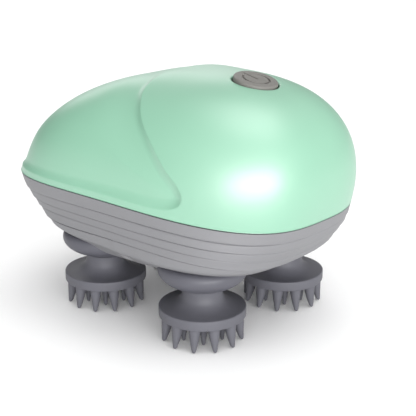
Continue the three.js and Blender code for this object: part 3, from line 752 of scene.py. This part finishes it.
chain = [port_lip, port_level(7.2, 4.1, 1.5, -57.1), port_level(7.0, 3.9, 1.3, -56.95), port_level(5.2, 2.3, 0.9, -56.95), port_level(5.1, 2.2, 0.8, -56.8)]
port_in, _ = open_hole(keel, PORT + np.array([2.2, 0, 0]), N1, N2, NX, 1.6, box_distance(5.1, 2.2, 0.8), [(rounded(5.6, 2.7, 1.2), 0.0), (rounded(5.1, 2.2, 0.8), 0.0)],
                       keel_inside, degree=3, fit_reach=7.0)
chain.append(port_in)
for a, b_ in zip(chain[:-1], chain[1:]):
    keel.bridge(a, b_)
lower_piece = piece("lower_shell_skin", keel, "casing", GREY, ["lower_shell"])


def bores(obj, places, r, z0, z1):
    """Cuts round upright openings through a piece."""
    import bmesh
    bm = bmesh.new()
    for x, y in places:
        made = bmesh.ops.create_cone(bm, cap_ends=True, segments=64, radius1=r * 0.001, radius2=r * 0.001, depth=(z1 - z0) * 0.001)
        bmesh.ops.translate(bm, verts=made["verts"], vec=(x * 0.001, y * 0.001, (z0 + z1) * 0.0005))
    tool = bpy.data.meshes.new("bore_tool")
    bm.to_mesh(tool)
    bm.free()
    cutter = bpy.data.objects.new("bore_tool", tool)
    scene.collection.objects.link(cutter)
    mod = obj.modifiers.new("bores", "BOOLEAN")
    mod.operation, mod.solver, mod.object = "DIFFERENCE", "EXACT", cutter
    mesh = bpy.data.meshes.new_from_object(obj.evaluated_get(bpy.context.evaluated_depsgraph_get()))
    obj.modifiers.clear()
    obj.data = mesh
    bpy.data.objects.remove(cutter)
    mesh.set_sharp_from_angle(angle=math.radians(38))
    bm = bmesh.new()
    bm.from_mesh(mesh)
    print(f"bored {obj.name}: {len(bm.faces)} faces, open or doubled edges {sum(1 for e in bm.edges if len(e.link_faces) != 2)}, volume {bm.calc_volume() * 1e9:.0f} mm3")
    bm.free()


# openings for the four cup spigots and their shafts
bores(lower_piece, [(sx * HEAD_X, sy * HEAD_Y) for sx in (-1, 1) for sy in (-1, 1)], 8.1, 18, 40)

# ---------------------------------------------------------------- seam gasket
gasket = Build()
g_rings = []
for inset, dz in ((0.7, -0.1), (0.62, 0.0), (0.7, 0.12), (1.9, 0.12), (1.9, -0.14), (0.7, -0.14)):
    x, y = plan(phi_l, HALF_LENGTH - inset, HALF_WIDTH - inset)
    g_rings.append(gasket.add(np.stack([BODY_X + x, y, seam(x) + dz], -1)))
for a, b_ in zip(g_rings, g_rings[1:] + g_rings[:1]):
    gasket.bridge(a, b_)
piece("seam_gasket_ring", gasket, "casing", RUBBER, ["seam_gasket"])

# ---------------------------------------------------------------- power button
button = Build()


def on_button(r2, t):
    r2 = np.asarray(r2, float)
    return BUTTON_POS + r2[:, :1] * E1 + r2[:, 1:] * E2 + np.asarray(t, float).reshape(-1, 1) * AX


TOP_R, TOP_T = 7.25, 1.0
crown = lambda p: TOP_T + 0.10 * (1 - np.minimum(1, (np.hypot(p[:, 0], p[:, 1]) / TOP_R) ** 2))
prev = None
for r, t in ((2.0, -5.5), (2.0, -2.3), (2.3, -2.0), (7.7, -2.0), (7.92, -1.8), (BUTTON_R, -1.5), (BUTTON_R, 0.3), (7.93, 0.5), (7.86, 0.68), (7.74, 0.82), (7.58, 0.92), (7.42, 0.98), (TOP_R, TOP_T)):
    ring = button.add(on_button(circle(r, RING), np.full(RING, t)))
    if prev is None:
        button.fan(ring[::-1], BUTTON_POS - AX * 5.6)
    else:
        button.bridge(prev, ring)
    prev = ring


def stadium(p, q, half, n=8):
    d = np.array(q, float) - np.array(p, float)
    a = math.atan2(d[1], d[0])
    pts = [np.array(q) + half * np.array([math.cos(a - math.pi / 2 + math.pi * i / n), math.sin(a - math.pi / 2 + math.pi * i / n)]) for i in range(n + 1)]
    m = max(2, int(np.hypot(*d) / 0.5))
    pts += [np.array(q) + (np.array(p) - np.array(q)) * i / m + half * np.array([math.cos(a + math.pi / 2), math.sin(a + math.pi / 2)]) for i in range(1, m)]
    pts += [np.array(p) + half * np.array([math.cos(a + math.pi / 2 + math.pi * i / n), math.sin(a + math.pi / 2 + math.pi * i / n)]) for i in range(n + 1)]
    pts += [np.array(p) + (np.array(q) - np.array(p)) * i / m + half * np.array([math.cos(a - math.pi / 2), math.sin(a - math.pi / 2)]) for i in range(1, m)]
    return np.array(pts)


def arc_band(radius, half, gap, n=72, cap=8):
    a0, a1 = math.pi + gap, 3 * math.pi - gap
    t = np.linspace(a0, a1, n)
    pts = [((radius + half) * math.cos(v), (radius + half) * math.sin(v)) for v in t]
    end = np.array([radius * math.cos(a1), radius * math.sin(a1)])
    pts += [tuple(end + half * np.array([math.cos(a1 + math.pi * i / cap), math.sin(a1 + math.pi * i / cap)])) for i in range(1, cap)]
    pts += [((radius - half) * math.cos(v), (radius - half) * math.sin(v)) for v in t[::-1]]
    end = np.array([radius * math.cos(a0), radius * math.sin(a0)])
    pts += [tuple(end - half * np.array([math.cos(a0 + math.pi * i / cap), math.sin(a0 + math.pi * i / cap)])) for i in range(1, cap)]
    return np.array(pts)


GAP = math.radians(25)
marks = [(arc_band(4.7, 0.42, GAP), arc_band(4.7, 0.3, GAP)), (stadium((-5.8, 0), (0.6, 0), 0.42), stadium((-5.8, 0), (0.6, 0), 0.3))]


def engraved(b, ring, ring2d, marks, depth, top, place):
    """Fills a ring with a face that has the marks cut into it."""
    loops = [ring2d] + [m[0] for m in marks]
    step = 0.55
    gx, gy = np.meshgrid(np.arange(-9, 9, step), np.arange(-9, 9, step * 0.866))
    gx = gx + (np.arange(gx.shape[0]) % 2)[:, None] * step / 2
    free = np.stack([gx.ravel(), gy.ravel()], -1)
    R = np.hypot(ring2d[:, 0], ring2d[:, 1]).min()
    free = free[np.hypot(free[:, 0], free[:, 1]) < R - 0.3]
    allm = np.concatenate([m[0] for m in marks])
    far = np.sqrt(((free[:, None] - allm[None]) ** 2).sum(-1)).min(1) > 0.26
    free = free[far]
    index = [ring] + [b.add(place(m[0], top(m[0]))) for m in marks] + [b.add(place(free, top(free)))]
    flat = np.concatenate(index)
    for t in triangles(loops, free, 0, list(range(1, len(loops)))):
        b.face(*flat[t])
    for k, (o, i) in enumerate(marks):
        wall = b.add(place(i, top(i) - depth))
        b.bridge(index[1 + k], wall)
        for t in triangles([i]):
            b.face(*wall[t])


engraved(button, prev, circle(TOP_R, RING), marks, 0.5, crown, on_button)
piece("power_button_cap", button, "button", BUTTON, ["power_button"])


# ---------------------------------------------------------------- cups
def lathe_ring(b, x, y, r, z, n):
    p = circle(1.0, n)
    r, z = np.broadcast_to(r, (n,)), np.broadcast_to(z, (n,))
    return b.add(np.stack([x + p[:, 0] * r, y + p[:, 1] * r, z], -1))


CUP_N = 112
A_END = math.acos(7.4 / CUP_R)
for name, (sx, sy) in CORNERS.items():
    x, y = sx * HEAD_X, sy * HEAD_Y
    cup = Build()
    p = circle(1.0, CUP_N)
    top = lambda r, lift=1.1: keel_z(x + p[:, 0] * r, y + p[:, 1] * r) + lift
    rings = [lathe_ring(cup, x, y, 3.9, 21.8, CUP_N), lathe_ring(cup, x, y, 3.7, 21.6, CUP_N), lathe_ring(cup, x, y, 3.7, CUP_BOTTOM + 0.2, CUP_N),
             lathe_ring(cup, x, y, 3.9, CUP_BOTTOM, CUP_N), lathe_ring(cup, x, y, 6.9, CUP_BOTTOM, CUP_N)]
    # the bowl's outline from the foot to the end of its shoulder, followed round each bearing until it enters the casing
    way = catmull_rom(CUP_SHOULDER[1:-1], 6)
    outline = np.array([(CUP_R * math.cos(a), CUP_Z - (CUP_Z - CUP_BOTTOM) * math.sin(a) / math.sin(A_END)) for a in np.linspace(A_END, 0, 60)]
                       + [tuple(q) for q in way] + [(r, 29.2) for r in np.linspace(13.0, 8.2, 16)])
    run = np.concatenate([[0], np.cumsum(np.hypot(*np.diff(outline, axis=0).T))])
    inside_casing = np.stack([z - top(r) for r, z in outline])
    end = np.empty(CUP_N)
    for j in range(CUP_N):
        k = int(np.argmax(inside_casing[:, j] > 0))
        if inside_casing[k, j] <= 0:
            end[j] = run[-1]
        elif k == 0:
            end[j] = run[1]
        else:
            f0, f1 = inside_casing[k - 1, j], inside_casing[k, j]
            end[j] = run[k - 1] + (run[k] - run[k - 1]) * -f0 / (f1 - f0)
    for t in np.linspace(0, 1, 34):
        rings.append(lathe_ring(cup, x, y, np.interp(end * t, run, outline[:, 0]), np.interp(end * t, run, outline[:, 1]), CUP_N))
    last_r = np.interp(end, run, outline[:, 0])
    for t in (0.8, 0.55, 0.3, 0.1, 0.0):
        r = 7.6 + (last_r - 7.6) * t
        rings.append(lathe_ring(cup, x, y, r, np.minimum(top(r), 29.2) + 0.05 * (1 - t), CUP_N))
    rings.append(lathe_ring(cup, x, y, 7.5, 26.9, CUP_N))
    rings.append(lathe_ring(cup, x, y, 6.4, 27.0, CUP_N))
    rings.append(lathe_ring(cup, x, y, 6.3, 26.8, CUP_N))
    rings.append(lathe_ring(cup, x, y, 6.3, 21.8, CUP_N))
    for a, b_ in zip(rings, rings[1:] + rings[:1]):
        cup.bridge(a, b_)
    piece(f"cup_{name}", cup, "casing", CUP_LOOK, [f"head_cup_{name}"])

# ---------------------------------------------------------------- massage heads
HN = 120
head = Build()
rings = []
profile = [(NECK_R - 0.35, NECK_Z), (NECK_R - 0.05, NECK_Z - 0.08), (NECK_R + 0.08, NECK_Z - 0.22)]
profile += [tuple(q) for q in catmull_rom([(NECK_R, NECK_Z - 0.6), (7.3, 17.2), (7.9, 15.3), (9.2, 13.95), (11.0, 13.05), (13.2, 12.6), (HEAD_R - 0.5, RIM_HIGH + 0.02)], 5)]
profile += [(HEAD_R - 0.28, RIM_HIGH - 0.02), (HEAD_R - 0.12, RIM_HIGH - 0.1), (HEAD_R - 0.03, RIM_HIGH - 0.24), (HEAD_R, RIM_HIGH - 0.42),
            (HEAD_R, RIM_HIGH - 1.5), (HEAD_R, RIM_LOW + 0.4), (HEAD_R - 0.03, RIM_LOW + 0.22), (HEAD_R - 0.11, RIM_LOW + 0.08), (HEAD_R - 0.26, RIM_LOW)]
for r, z in profile:
    rings.append(lathe_ring(head, 0, 0, r, z, HN))
for a, b_ in zip(rings[:-1], rings[1:]):
    head.bridge(a, b_)
# drive socket for the hexagonal shaft end
n6 = np.arange(HN)
hexr = 3.3 / np.cos(((n6 * 2 * np.pi / HN + math.pi / 6) % (math.pi / 3)) - math.pi / 6)
hexr = np.minimum(hexr, 3.62)
socket = [rings[0], lathe_ring(head, 0, 0, hexr + 0.3, NECK_Z, HN), lathe_ring(head, 0, 0, hexr, NECK_Z - 0.3, HN), lathe_ring(head, 0, 0, hexr, 9.95, HN)]
for a, b_ in zip(socket[:-1], socket[1:]):
    head.bridge(b_, a)
head.fan(socket[-1], (0, 0, 9.9))

spikes = []
OUT_EDGE = 15.08
for k in range(12):
    spikes.append((k * math.pi / 6, True))
for k in range(6):
    spikes.append((math.radians(15 + 60 * k), False))
roots2d, roots = [], []
SEGS = 24


def spike_width(s, big):
    w0, wt = (2.2, 0.66) if big else (1.62, 0.55)
    return wt + (w0 - wt) * (1 - s ** 1.35)


def spike_ring(angle, big, s, w, z):
    body = spike_width(s, big)
    rc = OUT_EDGE - body if big else 7.9
    cx, cy = rc * math.cos(angle), rc * math.sin(angle)
    p = circle(w, SEGS, angle)
    return np.stack([cx + p[:, 0], cy + p[:, 1], np.full(SEGS, z)], -1)


for angle, big in spikes:
    fil = 0.3
    first = spike_ring(angle, big, 0, spike_width(0, big) + fil, RIM_LOW)
    # the flare at the root stays on the flat inside the rim
    reach = np.hypot(first[:, 0], first[:, 1])
    squeeze = np.minimum(1, (HEAD_R - 0.34) / reach)
    first[:, :2] *= squeeze[:, None]
    ring = head.add(first)
    roots.append(ring)
    roots2d.append(first[:, :2])
    prev = ring
    stages = [(0.01, fil * 0.45, RIM_LOW - 0.06), (0.02, fil * 0.15, RIM_LOW - 0.2), (0.05, 0.0, RIM_LOW - 0.45)]
    for s, grow_w, z in stages:
        ring = head.add(spike_ring(angle, big, s, spike_width(s, big) + grow_w, z))
        head.bridge(prev, ring)
        prev = ring
    tip_r = 0.66 if big else 0.55
    for s in (0.14, 0.25, 0.37, 0.5, 0.62, 0.74, 0.85, 0.93):
        z = (RIM_LOW - 0.45) * (1 - (s - 0.05) / 0.95)
        if z < tip_r * 0.9:
            break
        ring = head.add(spike_ring(angle, big, s, spike_width(s, big), z))
        head.bridge(prev, ring)
        prev = ring
    for a in (0.35, 0.7, 1.0, 1.25):
        ring = head.add(spike_ring(angle, big, 1.0, tip_r * math.cos(a) * 1.02, tip_r * (1 - math.sin(a))))
        head.bridge(prev, ring)
        prev = ring
    rc = OUT_EDGE - spike_width(1.0, big) if big else 7.9
    head.fan(prev, (rc * math.cos(angle), rc * math.sin(angle), 0.0))
under = circle(HEAD_R - 0.26, HN)
step = 1.1
gx, gy = np.meshgrid(np.arange(-16, 16, step), np.arange(-16, 16, step * 0.866))
gx = gx + (np.arange(gx.shape[0]) % 2)[:, None] * step / 2
free = np.stack([gx.ravel(), gy.ravel()], -1)
free = free[np.hypot(free[:, 0], free[:, 1]) < HEAD_R - 0.8]
allr = np.concatenate(roots2d)
free = free[np.sqrt(((free[:, None] - allr[None]) ** 2).sum(-1)).min(1) > 0.4]
for loop in roots2d:
    free = free[~in_polygon(loop, free)]
free_ids = head.add(np.column_stack([free, np.full(len(free), RIM_LOW)]))
index = np.concatenate([rings[-1]] + roots + [free_ids])
for t in triangles([under] + roots2d, free, 0, list(range(1, len(roots2d) + 1))):
    head.face(*index[t])
for name, (sx, sy) in CORNERS.items():
    copy = Build()
    copy.v, copy.f, copy.n = [head.points().copy()], list(head.f), head.n
    piece(f"head_{name}_moulding", copy, f"head_{name}", SILICONE, [f"massage_head_{name}"], offset=(sx * HEAD_X, sy * HEAD_Y, 0))

# ---------------------------------------------------------------- port plug
plug = Build()


def plug_level(hx, hy, r, x, n=10):
    p = rounded(hx, hy, r, n)
    return plug.add(np.stack([np.full(len(p), x), -p[:, 0], PORT[2] + p[:, 1]], -1))


levels = [(4.4, 1.5, 0.5, -55.6), (4.65, 1.75, 0.7, -55.8), (4.65, 1.75, 0.7, -57.2), (6.6, 3.5, 1.2, -57.25), (6.85, 3.75, 1.4, -57.45),
          (6.85, 3.75, 1.4, -57.9), (6.75, 3.65, 1.35, -58.08), (6.55, 3.45, 1.25, -58.17), (6.2, 3.1, 1.0, -58.2)]
lv = [plug_level(*l) for l in levels]
for a, b_ in zip(lv[:-1], lv[1:]):
    plug.bridge(a, b_)
plug.fan(lv[0][::-1], (-55.6, 0, PORT[2]))
# thumbnail groove along the lower side of the flange
groove_o, groove_i = stadium((-3.2, -1.6), (3.2, -1.6), 0.5), stadium((-3.2, -1.6), (3.2, -1.6), 0.3)
o_ids = plug.add(np.stack([np.full(len(groove_o), -58.2), -groove_o[:, 0], PORT[2] + groove_o[:, 1]], -1))
i_ids = plug.add(np.stack([np.full(len(groove_i), -57.85), -groove_i[:, 0], PORT[2] + groove_i[:, 1]], -1))
face2d = rounded(6.2, 3.1, 1.0)
idx = np.concatenate([lv[-1], o_ids])
for t in triangles([face2d, groove_o], keep_in=0, holes=[1]):
    plug.face(*idx[t])
plug.bridge(o_ids, i_ids)
for t in triangles([groove_i]):
    plug.face(*i_ids[t])
piece("socket_plug_flange", plug, "charge_plug", RUBBER, ["socket_plug"])

# ---------------------------------------------------------------- case screws
for i, (x, y) in enumerate(CASE_SCREWS):
    s = Build()
    n = 48
    prev = None
    for r, z in ((0.35, 51.95), (0.85, 51.0), (0.85, 31.8), (1.2, 31.7), (2.1, 31.7), (2.28, 31.55), (2.3, 30.6), (2.22, 30.2), (2.0, 29.9), (1.75, 29.72), (1.45, 29.62)):
        ring = lathe_ring(s, x, y, r, z, n)
        if prev is None:
            s.fan(ring[::-1], (x, y, 52.0))
        else:
            s.bridge(prev, ring)
        prev = ring
    ring2d = circle(1.45, n)
    c, l = 0.24, 1.1
    cross = [(c, c), (l, c), (l, -c), (c, -c), (c, -l), (-c, -l), (-c, -c), (-l, -c), (-l, c), (-c, c), (-c, l), (c, l)]
    c, l = 0.16, 0.75
    small = [(c, c), (l, c), (l, -c), (c, -c), (c, -l), (-c, -l), (-c, -c), (-l, -c), (-l, c), (-c, c), (-c, l), (c, l)]
    cross, small = np.array(cross), np.array(small)
    co = s.add(np.column_stack([x + cross[:, 0], y + cross[:, 1], np.full(12, 29.6)]))
    ci = s.add(np.column_stack([x + small[:, 0], y + small[:, 1], np.full(12, 30.6)]))
    idx = np.concatenate([prev, co])
    for t in triangles([ring2d, cross], keep_in=0, holes=[1]):
        s.face(*idx[t])
    s.bridge(co, ci)
    for t in triangles([small]):
        s.face(*ci[t])
    piece(f"case_screw_{i + 1}_cross", s, "casing", STEEL, [f"case_screw_{i + 1}"], angle=30)

# ---------------------------------------------------------------- floor, light, camera
floor_mesh = bpy.data.meshes.new("floor")
R = 4.0
floor_mesh.from_pydata([(-R, -R, 0), (R, -R, 0), (R, R, 0), (-R, R, 0)], [], [(0, 1, 2, 3)])
floor = bpy.data.objects.new("floor", floor_mesh)
scene.collection.objects.link(floor)
floor.location.z = -0.0001
floor_mat = finish("pale_floor", srgb(250, 250, 250), 0.85, vary=0.004, mottle=4, grain=400, grain_depth=0.0)
floor_mesh.materials.append(floor_mat)

world = bpy.data.worlds.new("studio")
scene.world = world
world.use_nodes = True
sky = world.node_tree
toward = Vector((0.84, -0.38, 0.25)).normalized()
glance = sky.nodes.new("ShaderNodeVectorMath")
glance.operation = "DOT_PRODUCT"
glance.inputs[1].default_value = toward
sky.links.new(sky.nodes.new("ShaderNodeTexCoord").outputs["Generated"], glance.inputs[0])
level = sky.nodes.new("ShaderNodeMapRange")
level.inputs["From Min"].default_value, level.inputs["From Max"].default_value = -1.0, 1.0
level.inputs["To Min"].default_value, level.inputs["To Max"].default_value = 0.15, 1.35
sky.links.new(glance.outputs["Value"], level.inputs["Value"])
sky.nodes["Background"].inputs["Color"].default_value = (1, 1, 1, 1)
sky.links.new(level.outputs[0], sky.nodes["Background"].inputs["Strength"])


def area(name, at, aim, size, power, colour=(1, 1, 1)):
    data = bpy.data.lights.new(name, "AREA")
    data.shape = "RECTANGLE"
    data.size, data.size_y = size
    data.energy = power
    data.color = colour
    obj = bpy.data.objects.new(name, data)
    scene.collection.objects.link(obj)
    obj.location = at
    obj.rotation_euler = (Vector(aim) - Vector(at)).to_track_quat("-Z", "Y").to_euler()
    return obj


AZ, PITCH = math.radians(42.428), math.radians(18.656)
right = Vector((math.cos(AZ), math.sin(AZ), 0))
ahead = Vector((-math.sin(AZ), math.cos(AZ), 0))
# a low key in front, to the camera's right; a large soft panel overhead
turn = math.radians(-34)
area("key", (math.cos(turn), math.sin(turn), 0.16), (0, 0, 0.055), (1.1, 0.34), 9)
area("top", (0.15, 0.15, 1.1), (0, 0, 0.05), (0.9, 0.9), 3.6)
area("back", tuple(ahead * 1.1 - right * 0.25 + Vector((0, 0, 0.5))), (0, 0, 0.08), (0.9, 0.3), 2)

cam_data = bpy.data.cameras.new("camera")
cam = bpy.data.objects.new("camera", cam_data)
scene.collection.objects.link(cam)
scene.camera = cam
forward = ahead * math.cos(PITCH) + Vector((0, 0, -math.sin(PITCH)))
cam.location = (0.23110, -0.25365, 0.15123)
cam.rotation_euler = forward.to_track_quat("-Z", "Y").to_euler()
cam_data.sensor_width = 36
cam_data.lens = 943.45 / 416 * 36
cam_data.shift_x = (208 - 192.798) / 416
cam_data.shift_y = (211.87 - 208) / 416
cam_data.clip_start, cam_data.clip_end = 0.01, 20

scene.view_settings.view_transform = "Standard"
